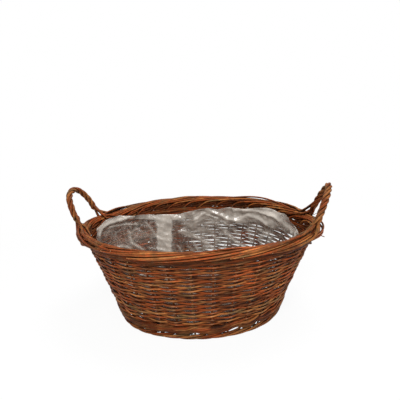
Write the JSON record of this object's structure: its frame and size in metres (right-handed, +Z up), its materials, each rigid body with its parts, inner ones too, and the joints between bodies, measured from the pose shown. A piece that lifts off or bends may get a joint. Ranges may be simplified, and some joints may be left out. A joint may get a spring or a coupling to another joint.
{
  "type": "willow basket",
  "caption": "Oval planter basket of brown willow with a rolled border, a foot border, two upright roped loop handles on its ends and a loose clear film liner.",
  "frame": {"origin": "middle of the foot border's flat underside, on the surface the basket stands on", "axes": "+X along the basket's length towards the right handle, +Y towards the back, +Z up"},
  "size_m": [0.402, 0.2762, 0.192],
  "materials": {
    "stake": "satin",
    "siding": "satin",
    "base_stick": "satin",
    "base_weave": "satin",
    "foot_border": "satin",
    "wale": "satin",
    "border": "satin",
    "handle_bow": "satin",
    "handle_roping": "satin",
    "liner_film": "clear film"
  },
  "bodies": {
    "basket": {"stake_01": "stake", "stake_02": "stake", "stake_03": "stake", "stake_04": "stake", "stake_05": "stake", "stake_06": "stake", "stake_07": "stake", "stake_08": "stake", "stake_09": "stake", "stake_10": "stake", "stake_11": "stake", "stake_12": "stake", "stake_13": "stake", "stake_14": "stake", "stake_15": "stake", "stake_16": "stake", "stake_17": "stake", "stake_18": "stake", "stake_19": "stake", "stake_20": "stake", "stake_21": "stake", "stake_22": "stake", "stake_23": "stake", "stake_24": "stake", "stake_25": "stake", "stake_26": "stake", "stake_27": "stake", "stake_28": "stake", "stake_29": "stake", "stake_30": "stake", "stake_31": "stake", "stake_32": "stake", "siding_row_1": "siding", "siding_row_2": "siding", "siding_row_3": "siding", "siding_row_4": "siding", "siding_row_5": "siding", "siding_row_6": "siding", "siding_row_7": "siding", "siding_row_8": "siding", "base_long_stick_1": "base_stick", "base_long_stick_2": "base_stick", "base_long_stick_3": "base_stick", "base_cross_stick_1": "base_stick", "base_cross_stick_2": "base_stick", "base_cross_stick_3": "base_stick", "base_cross_stick_4": "base_stick", "base_cross_stick_5": "base_stick", "base_weave": "base_weave", "foot_border": "foot_border", "upsett_wale": "wale", "top_wale": "wale", "border": "border", "left_handle_bow": "handle_bow", "right_handle_bow": "handle_bow", "left_handle_roping": "handle_roping", "right_handle_roping": "handle_roping"},
    "loose_liner": {"liner": "liner_film"}
  },
  "joints": [
    {"name": "liner_lift", "type": "slide", "parent": "basket", "child": "loose_liner", "axis": [0, 0, 1], "range_m": [0, 0.2]}
  ]
}
